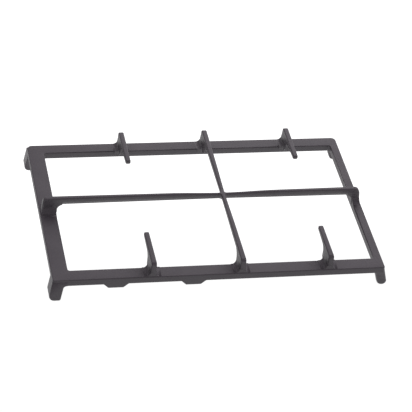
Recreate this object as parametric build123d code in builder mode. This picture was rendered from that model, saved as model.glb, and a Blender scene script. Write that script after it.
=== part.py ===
"""Pan support of a gas hob: one enamelled iron casting, in millimetres.

+X runs along the long side, from the wide end rail to the narrow one, +Y runs from the near long rail
to the far one and +Z is up. The origin is at the middle of the frame, in the plane the feet stand on.
"""
import os

from build123d import *

# Frame of four flat rails
length = 400.0
width = 255.8
rail_thickness = 9.0
wide_end_rail = 19.8
narrow_end_rail = 10.4
near_rail = 17.8
far_rail = 16.6
near_corner_radius = 2.5
far_corner_radius = 6.0
opening_corner_radius = 3.0
rail_edge_radius = 1.2

# Heights of the legs, of the bars over the rails and of the bars themselves
leg_drop = 20.2
bar_rise = 19.7
bar_depth = 9.6

# Places of the bars: the middle bar stands halfway between the two burners
middle_bar_x = 24.2
burner_spacing = 213.4
near_finger_tip_from_axis = 69.0
far_finger_tip_from_axis = 66.0

# Widths of the bars in plan, which taper from the rails inward
long_bar_width_at_rail = 6.2
long_bar_width_at_crossing = 3.5
middle_bar_width_at_rail = 6.7
middle_bar_width_at_crossing = 5.0
finger_width_at_rail = 6.7
finger_width_at_tip = 6.3
crossing_radius = 2.5

# Depth of the fingers, whose undersides rise towards the tips
finger_depth_at_rail = 7.4
finger_depth_at_tip = 5.2
finger_tip_corner_radius = 1.8
finger_lower_edge_radius = 1.6

# Shallow dish over the crossing of the bars
dish_depth = 1.5
dish_reach = 70.0

# Long edges of the bars: round on top, and the two crossing bars undercut below
bar_edge_radius = 1.6
undercut_height = 4.6
undercut_inset = 1.5

# Posts that carry the bars on the rails, whose outer faces lean inward
post_inset_at_foot = 0.7
post_inset_at_top = 0.9
wide_end_inset_at_foot = 1.6
wide_end_inset_at_top = 3.8
narrow_end_inset_at_foot = 0.2
narrow_end_inset_at_top = 3.4
post_corner_radius = 4.0
narrow_end_corner_radius = 6.0
post_sink = 6.0

# Webs, gussets and flared roots under the ends of the long bar
wide_end_web_reach = 1.0
narrow_end_web_reach = 1.0
end_web_foot = 0.6
end_gusset_radius = 7.4
end_flare_radius = 8.5
end_inner_flare_radius = 0.8

# Webs and flared roots of the posts on the long rails
side_web_reach = 9.5
side_web_foot = 1.0
side_gusset_radius = 7.0
flare_radius = 5.5
inner_flare_radius = 7.0
root_spread = 0.6
root_crown_drop = 1.5
root_crown_inset = 1.0

# Legs under the four corners
wide_end_leg_width = 13.6
narrow_end_leg_width = 10.8
wide_end_inner_splay = 3.2
wide_end_outer_splay = 4.0
narrow_end_inner_splay = 6.3
narrow_end_outer_splay = 7.6
wide_end_inner_toe_radius = 2.2
wide_end_outer_toe_radius = 6.0
narrow_end_inner_toe_radius = 6.0
narrow_end_outer_toe_radius = 5.0
wide_end_leg_root_radius = 4.0
narrow_end_leg_root_radius = 6.5
wide_end_leg_edge_radius = 1.5
narrow_end_leg_edge_radius = 3.0
leg_shoulder = 6.0
leg_taper = 2.0
near_wide_leg_depth = 16.0
far_wide_leg_depth = 14.0
near_narrow_leg_depth = 7.0
far_narrow_leg_depth = 10.0
near_wide_leg_lean = 2.4
near_narrow_leg_lean = -1.2

# Trapezoid tabs under the near rail, beside the larger burner
tab_centres_x = (-125.2, -32.9)
tab_width_at_rail = 29.6
tab_width_at_edge = 18.0
tab_drop = 5.6
tab_thickness = 8.0
tab_corner_radius = 1.5
tab_root_radius = 2.0
tab_sink = 3.0

# Room within which a corner counts as lying on a level, and how far upward a level face looks
level_match = 0.01
level_normal = 0.8

# Levels and edges that follow from the sizes above
rail_bottom = leg_drop
rail_top = rail_bottom + rail_thickness
bar_top = rail_top + bar_rise
bar_bottom = bar_top - bar_depth
undercut_top = bar_bottom + undercut_height
finger_bottom = bar_top - finger_depth_at_rail
post_bottom = rail_top - post_sink
half_length = length / 2
half_width = width / 2
opening_x = (wide_end_rail - narrow_end_rail) / 2
opening_y = (near_rail - far_rail) / 2
opening_length = length - wide_end_rail - narrow_end_rail
opening_width = width - near_rail - far_rail
near_web_y = near_rail + side_web_reach - half_width
far_web_y = half_width - far_rail - side_web_reach
wide_web_x = wide_end_rail + wide_end_web_reach - half_length
narrow_web_x = half_length - narrow_end_rail - narrow_end_web_reach
end_gusset = min(end_gusset_radius, bar_bottom - rail_top - end_web_foot - level_match)
finger_xs = (middle_bar_x - burner_spacing / 2, middle_bar_x + burner_spacing / 2)
widest_bar_end = max(long_bar_width_at_rail, middle_bar_width_at_rail, finger_width_at_rail)


def corners_at(outline, level):
    """Corners of an outline at one level, from low X to high X."""
    corners = outline.vertices().filter_by_position(Axis.Y, level - level_match, level + level_match)
    return corners.sort_by(Axis.X)


def undercut_bars(bars):
    """Lean the lower part of the bars' sides inward."""
    lower_faces = bars.faces().filter_by(Axis.Z)
    lower_faces = lower_faces.filter_by_position(Axis.Z, bar_bottom - level_match, bar_bottom + level_match)
    lower_face = lower_faces[0]
    long_edges = lower_face.edges().filter_by(lambda edge: edge.length > widest_bar_end)
    chamfer(long_edges, undercut_inset, undercut_height, reference=lower_face)


def post_planes(foot, inward):
    """Planes of a post at a rail's outer edge: across its bar, from above and from the side."""
    up = Vector(0, 0, 1)
    along = inward.cross(up)
    across = Plane(origin=foot, x_dir=along, z_dir=-inward)
    plan = Plane(origin=foot + up * post_bottom, x_dir=along, z_dir=up)
    side = Plane(origin=foot, x_dir=inward, z_dir=along)
    return across, plan, side


def root_flare(foot, inward, widths, rail, web, insets, radii):
    """Curved root between a post and the rail that carries it.

    foot is the middle of the post at the rail's outer edge, and inward points across the rail.
    """
    bar_width, web_width = widths
    web_reach, web_foot = web
    inset_at_foot, inset_at_top = insets
    flare, inner_flare, post_corner = radii
    across, plan, side = post_planes(foot, inward)
    half = bar_width / 2
    web_half = web_width / 2
    foot_half = half + root_spread
    crown_half = half - root_crown_inset
    crown = bar_top - root_crown_drop
    reach = foot_half + flare + rail_edge_radius
    web_end = rail + web_reach
    with BuildPart() as root:
        with BuildSketch(across) as section:
            with BuildLine():
                Polyline(
                    (-reach, post_bottom),
                    (-reach, rail_top),
                    (-foot_half, rail_top),
                    (-crown_half, crown),
                    (crown_half, crown),
                    (foot_half, rail_top),
                    (reach, rail_top),
                    (reach, post_bottom),
                    close=True,
                )
            make_face()
            fillet(corners_at(section, rail_top)[1:3], flare)
        extrude(amount=-web_end)
        with BuildSketch(plan) as outline:
            with BuildLine():
                Polyline(
                    (-reach, 0),
                    (-reach, rail),
                    (-half, rail),
                    (-web_half, web_end),
                    (web_half, web_end),
                    (half, rail),
                    (reach, rail),
                    (reach, 0),
                    close=True,
                )
            make_face()
            fillet(corners_at(outline, rail)[1:3], inner_flare)
        extrude(amount=bar_top - post_bottom, mode=Mode.INTERSECT)
        with BuildSketch(side) as profile:
            with BuildLine():
                Polyline(
                    (inset_at_foot, post_bottom),
                    (inset_at_top, bar_top),
                    (web_end, bar_top),
                    (web_end, rail_top + web_foot),
                    (rail - rail_edge_radius, post_bottom),
                    close=True,
                )
            make_face()
            fillet(corners_at(profile, bar_top)[0], post_corner)
        extrude(amount=reach, both=True, mode=Mode.INTERSECT)
    return root.part


def side_root(x, side, bar_width, web_reach):
    """Root of a post on the near rail (side -1) or the far one (side 1)."""
    return root_flare(
        Vector(x, side * half_width, 0),
        Vector(0, -side, 0),
        (bar_width, bar_width - 2 * undercut_inset),
        near_rail if side < 0 else far_rail,
        (web_reach, side_web_foot),
        (post_inset_at_foot, post_inset_at_top),
        (flare_radius, inner_flare_radius, post_corner_radius),
    )


def finger(x, side):
    """Finger on a post over the near rail (side -1) or the far one (side 1), pointing inward."""
    foot = Vector(x, side * half_width, 0)
    inward = Vector(0, -side, 0)
    _, plan, side_view = post_planes(foot, inward)
    rail = near_rail if side < 0 else far_rail
    web_end = rail + side_web_reach
    tip = half_width - (near_finger_tip_from_axis if side < 0 else far_finger_tip_from_axis)
    with BuildPart() as bar:
        with BuildSketch(side_view) as profile:
            with BuildLine():
                Polyline(
                    (post_inset_at_foot, post_bottom),
                    (post_inset_at_top, bar_top),
                    (tip, bar_top),
                    (tip, bar_top - finger_depth_at_tip),
                    (web_end, finger_bottom),
                    (web_end, rail_top + side_web_foot),
                    (rail, post_bottom),
                    close=True,
                )
            make_face()
            fillet(corners_at(profile, finger_bottom), side_gusset_radius)
            fillet(corners_at(profile, bar_top)[0], post_corner_radius)
        extrude(amount=finger_width_at_rail, both=True)
        with BuildSketch(plan) as outline:
            with BuildLine():
                Polyline(
                    (-finger_width_at_rail / 2, 0),
                    (-finger_width_at_tip / 2, tip),
                    (finger_width_at_tip / 2, tip),
                    (finger_width_at_rail / 2, 0),
                    close=True,
                )
            make_face()
            fillet(corners_at(outline, tip), finger_tip_corner_radius)
        extrude(amount=bar_top - post_bottom, mode=Mode.INTERSECT)
        fillet(bar.faces().sort_by(Axis.Z)[-1].edges().sort_by(Axis(foot, inward))[1:], bar_edge_radius)
        undersides = bar.faces().filter_by(lambda face: face.normal_at().Z < -level_normal)
        lower_edges = undersides.sort_by(Axis.Z)[-1].edges()
        fillet(lower_edges.filter_by(lambda edge: edge.length > widest_bar_end), finger_lower_edge_radius)
    return bar.part


def corner_leg(end, side, leg_width, splays, toe_radii, edge_radii, depth, lean=0.0):
    """Splayed leg with a round toe under one corner.

    end is -1 at the wide end rail and 1 at the narrow one.
    side is -1 at the near rail and 1 at the far one.
    splays and toe_radii give the inner side first, and edge_radii gives the root under the rail first.
    lean moves the toe outward across the rail.
    """
    inner_splay, outer_splay = splays
    inner_toe, outer_toe = toe_radii
    root_radius, edge_radius = edge_radii
    inner_top = half_length - leg_width
    root_end = inner_top - root_radius
    deep = depth + leg_taper
    with BuildPart() as leg:
        with BuildSketch(Plane.XZ.offset(-side * half_width)) as profile:
            with BuildLine():
                Polyline(
                    (end * half_length, rail_bottom + leg_shoulder),
                    (end * (half_length + outer_splay), 0),
                    (end * (inner_top + inner_splay), 0),
                    (end * inner_top, rail_bottom),
                    (end * root_end, rail_bottom),
                    (end * root_end, rail_bottom + leg_shoulder),
                    close=True,
                )
            make_face()
            fillet(corners_at(profile, 0).sort_by(lambda corner: abs(corner.X))[0], inner_toe)
            fillet(corners_at(profile, 0).sort_by(lambda corner: abs(corner.X))[-1], outer_toe)
            inner_corner = corners_at(profile, rail_bottom).sort_by(lambda corner: abs(corner.X))[-1]
            fillet(inner_corner, root_radius)
        extrude(amount=deep + abs(lean), both=True)
        with BuildSketch(Plane.YZ.offset(end * half_length)):
            with BuildLine():
                Polyline(
                    (side * (half_width + lean), 0),
                    (side * half_width, rail_top),
                    (side * (half_width - deep), rail_top),
                    (side * (half_width - depth), 0),
                    close=True,
                )
            make_face()
        extrude(amount=2 * leg_width, both=True, mode=Mode.INTERSECT)
        outer_side = leg.faces().filter_by(GeomType.PLANE).sort_by(lambda face: abs(face.center().X))[-1]
        fillet(outer_side.edges().sort_by(Axis.Y)[0], edge_radius)
    return leg.part


os.makedirs("parts", exist_ok=True)

# Flat frame with softened edges
with BuildPart() as frame:
    with BuildSketch(Plane.XY.offset(rail_bottom)) as outline:
        Rectangle(length, width)
        fillet(outline.vertices().group_by(Axis.Y)[0], near_corner_radius)
        fillet(outline.vertices().group_by(Axis.Y)[-1], far_corner_radius)
    extrude(amount=rail_thickness)
    with BuildSketch(Plane.XY.offset(rail_bottom)) as opening:
        with Locations((opening_x, opening_y)):
            Rectangle(opening_length, opening_width)
        fillet(opening.vertices(), opening_corner_radius)
    extrude(amount=rail_thickness, mode=Mode.SUBTRACT)
    fillet(frame.faces().filter_by(Axis.Z).edges(), rail_edge_radius)

# Long bar on posts over both end rails
with BuildPart() as long_bar:
    with BuildSketch(Plane.XZ) as long_profile:
        with BuildLine():
            Polyline(
                (wide_end_inset_at_foot - half_length, post_bottom),
                (wide_end_inset_at_top - half_length, bar_top),
                (half_length - narrow_end_inset_at_top, bar_top),
                (half_length - narrow_end_inset_at_foot, post_bottom),
                (half_length - narrow_end_rail, post_bottom),
                (narrow_web_x, rail_top + end_web_foot),
                (narrow_web_x, bar_bottom),
                (wide_web_x, bar_bottom),
                (wide_web_x, rail_top + end_web_foot),
                (wide_end_rail - half_length, post_bottom),
                close=True,
            )
        make_face()
        fillet(corners_at(long_profile, bar_bottom), end_gusset)
        fillet(corners_at(long_profile, bar_top)[0], post_corner_radius)
        fillet(corners_at(long_profile, bar_top)[-1], narrow_end_corner_radius)
    extrude(amount=long_bar_width_at_rail, both=True)
    with BuildSketch(Plane.XY.offset(post_bottom)):
        with BuildLine():
            Polyline(
                (-half_length, long_bar_width_at_rail / 2),
                (middle_bar_x, long_bar_width_at_crossing / 2),
                (half_length, long_bar_width_at_rail / 2),
                (half_length, -long_bar_width_at_rail / 2),
                (middle_bar_x, -long_bar_width_at_crossing / 2),
                (-half_length, -long_bar_width_at_rail / 2),
                close=True,
            )
        make_face()
    extrude(amount=bar_top - post_bottom, mode=Mode.INTERSECT)

# Full-width webs and gussets under both ends of the long bar
with BuildPart() as end_webs:
    add(long_bar.part)
    with BuildSketch(Plane.XZ):
        with BuildLine():
            Polyline(
                (-half_length, post_bottom),
                (-half_length, undercut_top),
                (wide_web_x + end_gusset, undercut_top),
                (wide_web_x, post_bottom),
                close=True,
            )
        make_face()
        with BuildLine():
            Polyline(
                (half_length, post_bottom),
                (half_length, undercut_top),
                (narrow_web_x - end_gusset, undercut_top),
                (narrow_web_x, post_bottom),
                close=True,
            )
        make_face()
    extrude(amount=long_bar_width_at_rail, both=True, mode=Mode.INTERSECT)

# Middle bar on posts over both long rails
with BuildPart() as middle_bar:
    with BuildSketch(Plane.YZ.offset(middle_bar_x)) as middle_profile:
        with BuildLine():
            Polyline(
                (post_inset_at_foot - half_width, post_bottom),
                (post_inset_at_top - half_width, bar_top),
                (half_width - post_inset_at_top, bar_top),
                (half_width - post_inset_at_foot, post_bottom),
                (half_width - far_rail, post_bottom),
                (far_web_y, rail_top + side_web_foot),
                (far_web_y, bar_bottom),
                (near_web_y, bar_bottom),
                (near_web_y, rail_top + side_web_foot),
                (near_rail - half_width, post_bottom),
                close=True,
            )
        make_face()
        fillet(corners_at(middle_profile, bar_bottom), side_gusset_radius)
        fillet(corners_at(middle_profile, bar_top), post_corner_radius)
    extrude(amount=middle_bar_width_at_rail, both=True)
    with BuildSketch(Plane.XY.offset(post_bottom)):
        with BuildLine():
            Polyline(
                (middle_bar_x - middle_bar_width_at_rail / 2, -half_width),
                (middle_bar_x - middle_bar_width_at_crossing / 2, 0),
                (middle_bar_x - middle_bar_width_at_rail / 2, half_width),
                (middle_bar_x + middle_bar_width_at_rail / 2, half_width),
                (middle_bar_x + middle_bar_width_at_crossing / 2, 0),
                (middle_bar_x + middle_bar_width_at_rail / 2, -half_width),
                close=True,
            )
        make_face()
    extrude(amount=bar_top - post_bottom, mode=Mode.INTERSECT)

# The two bars as one cross with round inner corners, a dished middle, undercut sides and round upper edges
with BuildPart() as cross:
    add(long_bar.part)
    add(middle_bar.part)
    inner_corners = cross.edges().filter_by(Axis.Z)
    inner_corners = inner_corners.filter_by_position(
        Axis.X, middle_bar_x - widest_bar_end, middle_bar_x + widest_bar_end
    )
    inner_corners = inner_corners.filter_by_position(Axis.Y, -widest_bar_end, widest_bar_end)
    fillet(inner_corners, crossing_radius)
    undercut_bars(cross)
    with BuildSketch(Plane(origin=(middle_bar_x, 0, bar_top), x_dir=(1, 1, 0), z_dir=(1, -1, 0))):
        with BuildLine():
            bowl = TangentArc((0, -dish_depth), (dish_reach / 2, -dish_depth / 2), tangent=(1, 0))
            TangentArc(bowl @ 1, (dish_reach, 0), tangent=bowl % 1)
            Polyline((dish_reach, 0), (dish_reach, dish_depth), (0, dish_depth), (0, -dish_depth))
        make_face()
    revolve(axis=Axis((middle_bar_x, 0, 0), (0, 0, 1)), mode=Mode.SUBTRACT)
    level_faces = cross.faces().filter_by(lambda face: face.normal_at().Z > level_normal)
    top_edges = level_faces.filter_by_position(Axis.Z, bar_bottom, bar_top + level_match).edges()
    fillet(top_edges.filter_by(lambda edge: edge.length > widest_bar_end), bar_edge_radius)

# Fingers and roots on both long rails
sides = (-1, 1)
fingers = [finger(x, side) for x in finger_xs for side in sides]
finger_root_reach = side_web_reach - finger_lower_edge_radius
roots = [side_root(x, side, finger_width_at_rail, finger_root_reach) for x in finger_xs for side in sides]
roots += [side_root(middle_bar_x, side, middle_bar_width_at_rail, side_web_reach) for side in sides]

# Roots of the long bar on both end rails
roots.append(root_flare(
    Vector(-half_length, 0, 0),
    Vector(1, 0, 0),
    (long_bar_width_at_rail, long_bar_width_at_rail),
    wide_end_rail,
    (wide_end_web_reach, end_web_foot),
    (wide_end_inset_at_foot, wide_end_inset_at_top),
    (end_flare_radius, end_inner_flare_radius, post_corner_radius),
))
roots.append(root_flare(
    Vector(half_length, 0, 0),
    Vector(-1, 0, 0),
    (long_bar_width_at_rail, long_bar_width_at_rail),
    narrow_end_rail,
    (narrow_end_web_reach, end_web_foot),
    (narrow_end_inset_at_foot, narrow_end_inset_at_top),
    (end_flare_radius, end_inner_flare_radius, narrow_end_corner_radius),
))

# Legs, wide end first
wide_end_leg = (
    wide_end_leg_width,
    (wide_end_inner_splay, wide_end_outer_splay),
    (wide_end_inner_toe_radius, wide_end_outer_toe_radius),
    (wide_end_leg_root_radius, wide_end_leg_edge_radius),
)
narrow_end_leg = (
    narrow_end_leg_width,
    (narrow_end_inner_splay, narrow_end_outer_splay),
    (narrow_end_inner_toe_radius, narrow_end_outer_toe_radius),
    (narrow_end_leg_root_radius, narrow_end_leg_edge_radius),
)
legs = [
    corner_leg(-1, -1, *wide_end_leg, near_wide_leg_depth, near_wide_leg_lean),
    corner_leg(-1, 1, *wide_end_leg, far_wide_leg_depth),
    corner_leg(1, -1, *narrow_end_leg, near_narrow_leg_depth, near_narrow_leg_lean),
    corner_leg(1, 1, *narrow_end_leg, far_narrow_leg_depth),
]

# Trapezoid tabs, flush with the near rail's outer face
with BuildPart() as tabs:
    with BuildSketch(Plane.XZ.offset(half_width)) as tab_profiles:
        for centre in tab_centres_x:
            left_end = centre - tab_width_at_rail / 2 - tab_root_radius
            right_end = centre + tab_width_at_rail / 2 + tab_root_radius
            with BuildLine():
                Polyline(
                    (left_end, rail_bottom + tab_sink),
                    (left_end, rail_bottom),
                    (centre - tab_width_at_rail / 2, rail_bottom),
                    (centre - tab_width_at_edge / 2, rail_bottom - tab_drop),
                    (centre + tab_width_at_edge / 2, rail_bottom - tab_drop),
                    (centre + tab_width_at_rail / 2, rail_bottom),
                    (right_end, rail_bottom),
                    (right_end, rail_bottom + tab_sink),
                    close=True,
                )
            make_face()
        fillet(corners_at(tab_profiles, rail_bottom - tab_drop), tab_corner_radius)
        tab_roots = corners_at(tab_profiles, rail_bottom)
        fillet(tab_roots[1:3] + tab_roots[5:7], tab_root_radius)
    extrude(amount=-tab_thickness)
    fillet(tabs.faces().group_by(Axis.Y)[0].edges().group_by(Axis.Z)[0], rail_edge_radius)

# The whole casting
with BuildPart() as pan_support:
    add(frame.part)
    add(cross.part)
    add(end_webs.part)
    add(fingers)
    add(roots)
    add(legs)
    add(tabs.part)

pan_support.part.label = "pan_support"
export_step(pan_support.part, "parts/pan_support.step")
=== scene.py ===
"""Dresses the pan support of a gas hob: one iron casting under semi-matt dark grey enamel.

The casting is shown on a plain white floor in soft studio light, from the photograph's viewing angle.
Lengths are millimetres unless a name says otherwise, and Blender's own values are metres.
"""
import logging
import math
from dataclasses import dataclass, field
from enum import Enum

import bmesh
import bpy
from mathutils import Matrix, Vector


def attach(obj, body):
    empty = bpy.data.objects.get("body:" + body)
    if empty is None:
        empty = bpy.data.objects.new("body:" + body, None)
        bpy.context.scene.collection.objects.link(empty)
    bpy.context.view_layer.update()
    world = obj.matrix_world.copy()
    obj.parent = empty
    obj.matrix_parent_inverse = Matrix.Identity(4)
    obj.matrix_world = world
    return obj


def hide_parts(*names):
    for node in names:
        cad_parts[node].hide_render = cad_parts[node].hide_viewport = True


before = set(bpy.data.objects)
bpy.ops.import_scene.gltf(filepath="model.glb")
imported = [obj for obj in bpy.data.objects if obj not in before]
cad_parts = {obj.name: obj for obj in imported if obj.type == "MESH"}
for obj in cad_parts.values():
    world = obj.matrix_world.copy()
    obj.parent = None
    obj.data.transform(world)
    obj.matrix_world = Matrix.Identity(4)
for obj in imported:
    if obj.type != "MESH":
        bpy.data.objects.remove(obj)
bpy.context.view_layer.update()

MM = 0.001

# The curve of the sRGB standard: a straight toe, then a power.
SRGB_TOE_END = 0.04045
SRGB_TOE_SLOPE = 12.92
SRGB_LIFT = 0.055
SRGB_POWER = 2.4

log = logging.getLogger("pan_support")


class PieceName(Enum):
    """Names of the objects that the script makes."""

    CASTING = "pan_support_casting"
    FLOOR = "studio_floor"
    CAMERA = "photo_camera"


def linear(hex_colour: str) -> tuple[float, float, float, float]:
    """Turns an sRGB hex colour into a linear one.

    Args:
        hex_colour: Six hex digits, such as "3c3a3d".

    Returns:
        Linear red, green, blue and an alpha of one.
    """
    parts = [int(hex_colour[i:i + 2], 16) / 255 for i in (0, 2, 4)]
    red, green, blue = (
        part / SRGB_TOE_SLOPE
        if part <= SRGB_TOE_END
        else ((part + SRGB_LIFT) / (1 + SRGB_LIFT)) ** SRGB_POWER
        for part in parts
    )
    return red, green, blue, 1.0


def empty_tree(owner: bpy.types.Material | bpy.types.World) -> bpy.types.NodeTree:
    """Gives a material or a surround a node tree with nothing in it.

    Args:
        owner: The material or the surround.

    Returns:
        Its empty node tree.
    """
    owner.use_nodes = True
    owner.node_tree.nodes.clear()
    return owner.node_tree


def add_node(
    tree: bpy.types.NodeTree,
    kind: str,
    inputs: dict[str | int, object] | None = None,
    **settings: object,
) -> bpy.types.Node:
    """Adds one node to a tree, sets it up and links it.

    Args:
        tree: The node tree that takes the node.
        kind: The node's type name.
        inputs: Input sockets by name or place, each with a socket to link from or a plain value.
        settings: Values of the node's own properties.

    Returns:
        The new node.
    """
    node = tree.nodes.new(kind)
    for name, value in settings.items():
        setattr(node, name, value)
    for name, value in (inputs or {}).items():
        if isinstance(value, bpy.types.NodeSocket):
            tree.links.new(value, node.inputs[name])
        else:
            node.inputs[name].default_value = value
    return node


@dataclass(frozen=True)
class Relief:
    """One layer of bumps: the distance from one to the next, and their height."""

    spacing: float
    height: float


@dataclass(frozen=True)
class EnamelFinish:
    """Semi-matt vitreous enamel, sprayed as slip on cast iron and fired.

    The glass layer gives a broad soft sheen that grows towards grazing views. The spray leaves a fine
    orange peel, the sand of the mould leaves a slow waviness under it, and the fired slip varies a little
    in tone. The grit in such enamel is about 0.2 mm wide and is drawn coarser here, so that it still
    breaks the sheen.
    """

    name: str = "fired_semi_matt_enamel_on_cast_iron"
    thin_tone: str = "3a363b"
    full_tone: str = "302c31"
    ior: float = 1.5
    roughness_low: float = 0.46
    roughness_high: float = 0.54
    tone_patch: float = 26.0
    tone_detail: float = 3.0
    relief_detail: float = 1.0
    mould_wave: Relief = Relief(spacing=34.0, height=0.12)
    orange_peel: Relief = Relief(spacing=2.4, height=0.03)
    grit: Relief = Relief(spacing=0.9, height=0.008)

    def material(self) -> bpy.types.Material:
        """Builds the enamel's node tree.

        Returns:
            The finished material.
        """
        material = bpy.data.materials.new(self.name)
        tree = empty_tree(material)
        place = add_node(tree, "ShaderNodeTexCoord").outputs["Object"]
        patches = add_node(
            tree,
            "ShaderNodeTexNoise",
            {"Vector": place, "Scale": 1 / (self.tone_patch * MM), "Detail": self.tone_detail},
        )
        tone = add_node(
            tree,
            "ShaderNodeMix",
            {"Factor": patches.outputs["Fac"], "A": linear(self.thin_tone), "B": linear(self.full_tone)},
            data_type="RGBA",
        )
        sheen = add_node(
            tree,
            "ShaderNodeMapRange",
            {"Value": patches.outputs["Fac"], "To Min": self.roughness_low, "To Max": self.roughness_high},
        )
        shader = add_node(
            tree,
            "ShaderNodeBsdfPrincipled",
            {
                "Base Color": tone.outputs["Result"],
                "Roughness": sheen.outputs["Result"],
                "IOR": self.ior,
                **self._relief(tree, place),
            },
        )
        add_node(tree, "ShaderNodeOutputMaterial", {"Surface": shader.outputs["BSDF"]})
        return material

    def _relief(
        self, tree: bpy.types.NodeTree, place: bpy.types.NodeSocket
    ) -> dict[str | int, object]:
        """Lays the mould's waves, the orange peel and the grit over each other.

        Args:
            tree: The material's node tree.
            place: The coordinate that the bumps follow, in metres.

        Returns:
            The bumped surface's normal, as an input for the shader.
        """
        surface: dict[str | int, object] = {}
        for layer in (self.mould_wave, self.orange_peel, self.grit):
            pattern = add_node(
                tree,
                "ShaderNodeTexNoise",
                {"Vector": place, "Scale": 1 / (layer.spacing * MM), "Detail": self.relief_detail},
            )
            bump = add_node(
                tree,
                "ShaderNodeBump",
                {"Height": pattern.outputs["Fac"], "Distance": layer.height * MM, **surface},
            )
            surface = {"Normal": bump.outputs["Normal"]}
        return surface


@dataclass(frozen=True)
class FloorFinish:
    """White paper sweep that is lit from below too, so it stays white under the object.

    Its light grows from the near side of the object to the far one.
    """

    name: str = "white_paper_sweep"
    glow_tone: str = "ffffff"
    paper_tone: str = "404040"
    near_light: float = 0.99
    far_light: float = 1.25
    near_y: float = -130.0
    far_y: float = 60.0

    def material(self) -> bpy.types.Material:
        """Builds the floor's node tree.

        Returns:
            The finished material.
        """
        material = bpy.data.materials.new(self.name)
        tree = empty_tree(material)
        paper = add_node(tree, "ShaderNodeBsdfDiffuse", {"Color": linear(self.paper_tone)})
        place = add_node(tree, "ShaderNodeTexCoord").outputs["Object"]
        across = add_node(tree, "ShaderNodeSeparateXYZ", {"Vector": place})
        strength = add_node(
            tree,
            "ShaderNodeMapRange",
            {
                "Value": across.outputs["Y"],
                "From Min": self.near_y * MM,
                "From Max": self.far_y * MM,
                "To Min": self.near_light,
                "To Max": self.far_light,
            },
            interpolation_type="SMOOTHSTEP",
        )
        glow = add_node(
            tree,
            "ShaderNodeEmission",
            {"Color": linear(self.glow_tone), "Strength": strength.outputs["Result"]},
        )
        both = add_node(
            tree,
            "ShaderNodeAddShader",
            {0: paper.outputs["BSDF"], 1: glow.outputs["Emission"]},
        )
        add_node(tree, "ShaderNodeOutputMaterial", {"Surface": both.outputs["Shader"]})
        return material


@dataclass
class Casting:
    """The whole pan support: frame, raised bars, fingers, legs and tabs in one piece of iron."""

    node: str = "pan_support"
    slot: str = "enamelled_iron"
    weld: float = 0.002
    smooth_angle_deg: float = 32.0
    finish: EnamelFinish = field(default_factory=EnamelFinish)

    def build(self) -> bpy.types.Object:
        """Makes a smooth skin from the casting's solid.

        Returns:
            The skin, which stands for the solid.
        """
        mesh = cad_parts[self.node].data.copy()
        mesh.name = PieceName.CASTING.value
        work = bmesh.new()
        work.from_mesh(mesh)
        bmesh.ops.remove_doubles(work, verts=work.verts, dist=self.weld * MM)
        bmesh.ops.dissolve_degenerate(work, edges=work.edges, dist=self.weld * MM)
        for face in work.faces:
            face.smooth = True
        work.to_mesh(mesh)
        work.free()
        mesh.set_sharp_from_angle(angle=math.radians(self.smooth_angle_deg))
        skin = bpy.data.objects.new(PieceName.CASTING.value, mesh)
        bpy.context.scene.collection.objects.link(skin)
        return skin

    def dress(self, skin: bpy.types.Object) -> None:
        """Gives the skin its enamel and ties it to the part's body.

        Args:
            skin: The casting's skin.
        """
        skin.data.materials.clear()
        skin.data.materials.append(self.finish.material())
        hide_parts(self.node)
        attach(skin, "root")


@dataclass
class PhotoCamera:
    """Camera at the photograph's viewing angle, aimed near the middle of the frame's top.

    The aim's steps to the right and up slide the eye, so that the object sits in the picture as it does
    in the photograph.
    """

    azimuth_deg: float = -16.010
    elevation_deg: float = 38.628
    roll_deg: float = -8.207
    distance: float = 2363.6
    aim_height: float = 29.2
    aim_right: float = -4.80
    aim_up: float = 1.11
    lens: float = 169.06
    sensor: float = 36.0

    def build(self) -> None:
        """Makes the camera and hands it to the scene."""
        azimuth = math.radians(self.azimuth_deg)
        elevation = math.radians(self.elevation_deg)
        roll = math.radians(self.roll_deg)
        back = Vector((
            math.sin(azimuth) * math.cos(elevation),
            -math.cos(azimuth) * math.cos(elevation),
            math.sin(elevation),
        ))
        level = Vector((math.cos(azimuth), math.sin(azimuth), 0.0))
        upright = back.cross(level)
        right = level * math.cos(roll) - upright * math.sin(roll)
        up = level * math.sin(roll) + upright * math.cos(roll)
        aim = Vector((0.0, 0.0, self.aim_height))
        eye = (aim + back * self.distance - right * self.aim_right - up * self.aim_up) * MM
        data = bpy.data.cameras.new(PieceName.CAMERA.value)
        data.sensor_width = self.sensor
        data.lens = self.lens
        camera = bpy.data.objects.new(PieceName.CAMERA.value, data)
        turn = Matrix((right, up, back)).transposed().to_4x4()
        camera.matrix_world = Matrix.Translation(eye) @ turn
        bpy.context.scene.collection.objects.link(camera)
        bpy.context.scene.camera = camera


@dataclass(frozen=True)
class SoftBox:
    """One large soft light that shines at the middle of the object."""

    name: str
    place: tuple[float, float, float]
    width: float
    watts: float

    def build(self) -> None:
        """Makes the light, square and turned to the object."""
        data = bpy.data.lights.new(self.name, "AREA")
        data.shape = "SQUARE"
        data.size = self.width * MM
        data.energy = self.watts
        light = bpy.data.objects.new(self.name, data)
        light.location = Vector(self.place) * MM
        light.rotation_mode = "QUATERNION"
        light.rotation_quaternion = Vector(self.place).to_track_quat("Z", "Y")
        bpy.context.scene.collection.objects.link(light)


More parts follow.
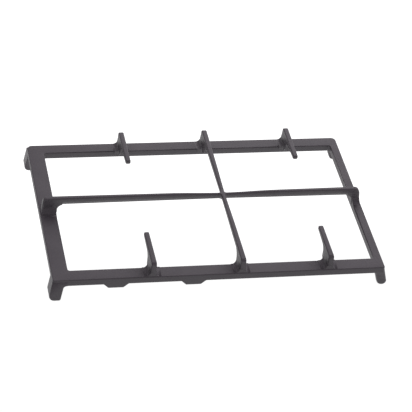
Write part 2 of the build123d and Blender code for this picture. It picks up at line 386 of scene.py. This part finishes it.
@dataclass(frozen=True)
class TentPanel:
    """Bright stretch of the tent's wall on one side of the object, which fades towards its rim.

    Its angles are measured at the object, from the middle of the panel.
    """

    name: str
    side: tuple[float, float, float]
    light: float
    full_angle_deg: float = 20.0
    rim_angle_deg: float = 65.0

    def glow(self, tree: bpy.types.NodeTree, direction: bpy.types.NodeSocket) -> bpy.types.NodeSocket:
        """Adds the panel's light to the surround's node tree.

        Args:
            tree: The surround's node tree.
            direction: The direction looked in.

        Returns:
            The panel's strength in that direction.
        """
        facing = add_node(
            tree,
            "ShaderNodeVectorMath",
            {0: direction, 1: Vector(self.side).normalized()},
            operation="DOT_PRODUCT",
        )
        fade = add_node(
            tree,
            "ShaderNodeMapRange",
            {
                "Value": facing.outputs["Value"],
                "From Min": math.cos(math.radians(self.rim_angle_deg)),
                "From Max": math.cos(math.radians(self.full_angle_deg)),
                "To Max": self.light,
            },
            interpolation_type="SMOOTHSTEP",
        )
        return fade.outputs["Result"]


@dataclass
class Studio:
    """White tent on a pale floor: dim walls with brighter panels, and one soft box behind the object."""

    floor_width: float = 12000.0
    wall_tone: str = "fff7ff"
    wall_light: float = 0.27
    finish: FloorFinish = field(default_factory=FloorFinish)
    panels: tuple[TentPanel, ...] = (
        TentPanel("panel_behind", side=(0.2154, 0.7512, 0.6239), light=0.76),
        TentPanel("panel_right", side=(1.0, 0.0, 0.3), light=0.53),
        TentPanel("panel_left", side=(-1.0, 0.0, 0.3), light=0.08),
        TentPanel("panel_front", side=(0.0, -1.0, 0.0), light=0.45),
        TentPanel("panel_above", side=(0.0, 0.0, 1.0), light=0.24),
    )
    soft_box: SoftBox = SoftBox("soft_box_behind", place=(330.0, 803.0, 450.0), width=700.0, watts=1.45)

    def build(self) -> None:
        """Makes the floor, the tent and the soft box."""
        self._floor()
        log.info("floor %s", PieceName.FLOOR.value)
        self._tent()
        self.soft_box.build()
        log.info("light %s", self.soft_box.name)

    def _floor(self) -> None:
        """Makes the floor at the height of the feet."""
        half = self.floor_width / 2 * MM
        corners = [(-half, -half, 0.0), (half, -half, 0.0), (half, half, 0.0), (-half, half, 0.0)]
        mesh = bpy.data.meshes.new(PieceName.FLOOR.value)
        mesh.from_pydata(corners, [], [range(len(corners))])
        mesh.materials.append(self.finish.material())
        floor = bpy.data.objects.new(PieceName.FLOOR.value, mesh)
        bpy.context.scene.collection.objects.link(floor)

    def _tent(self) -> None:
        """Makes the tent's walls and panels as the light of the surround."""
        world = bpy.data.worlds.new("white_tent")
        tree = empty_tree(world)
        direction = add_node(tree, "ShaderNodeTexCoord").outputs["Generated"]
        strength = self.wall_light
        for panel in self.panels:
            total = add_node(
                tree,
                "ShaderNodeMath",
                {0: strength, 1: panel.glow(tree, direction)},
                operation="ADD",
            )
            strength = total.outputs["Value"]
            log.info("tent %s", panel.name)
        walls = add_node(
            tree,
            "ShaderNodeBackground",
            {"Color": linear(self.wall_tone), "Strength": strength},
        )
        add_node(tree, "ShaderNodeOutputWorld", {"Surface": walls.outputs["Background"]})
        bpy.context.scene.world = world


def main() -> None:
    """Builds the dressed casting, the camera and the studio, in that order."""
    logging.basicConfig(level=logging.INFO, format="%(name)s: %(message)s")
    bpy.context.scene.view_settings.view_transform = "Standard"
    casting = Casting()
    skin = casting.build()
    casting.dress(skin)
    log.info("casting skin with %d faces", len(skin.data.polygons))
    PhotoCamera().build()
    log.info("camera at the photograph's angle")
    Studio().build()


if __name__ == "__main__":
    main()
